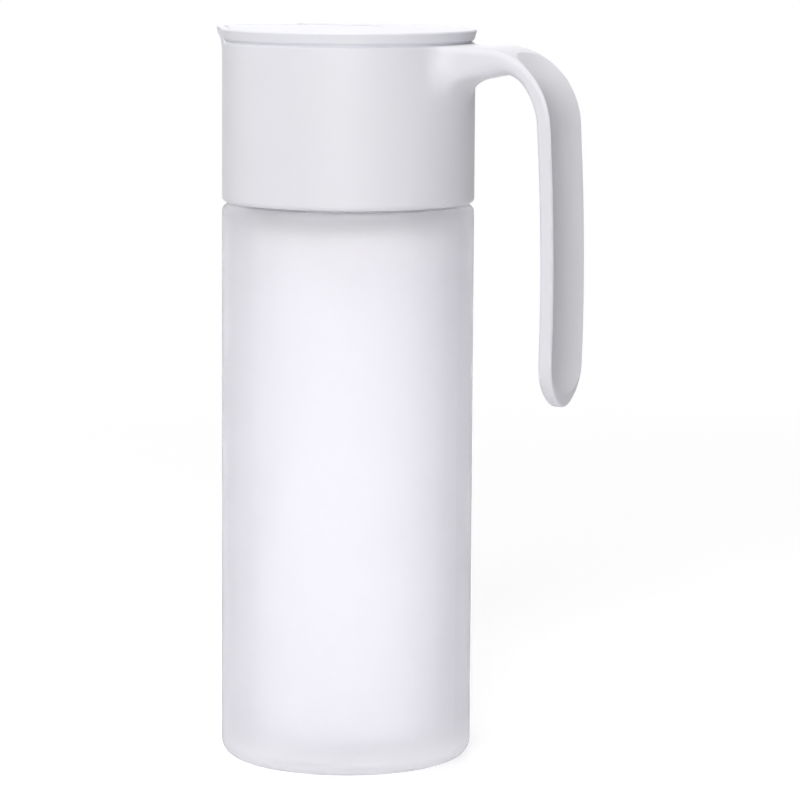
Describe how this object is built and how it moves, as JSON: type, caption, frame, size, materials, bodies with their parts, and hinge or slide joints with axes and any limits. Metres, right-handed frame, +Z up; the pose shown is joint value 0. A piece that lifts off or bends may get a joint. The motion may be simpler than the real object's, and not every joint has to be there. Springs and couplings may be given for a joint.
{
  "type": "oil dispenser bottle",
  "caption": "Tall frosted glass oil bottle with a flush white plastic pouring head, a small drop-shaped beak, a one-armed handle and a flat lid.",
  "frame": {"origin": "centre of the flat glass base, on the surface it stands on", "axes": "+Z up the bottle's axis, +X towards the handle, -X towards the beak"},
  "size_m": [0.118, 0.0758, 0.2181],
  "materials": {
    "frosted_glass": "frosted, fine satin etch",
    "head_plastic": "satin, very fine moulded texture",
    "lid_plastic": "satin"
  },
  "bodies": {
    "root": {"glass_bottle": "frosted_glass", "pouring_head": "head_plastic", "lid": "lid_plastic"}
  },
  "joints": []
}
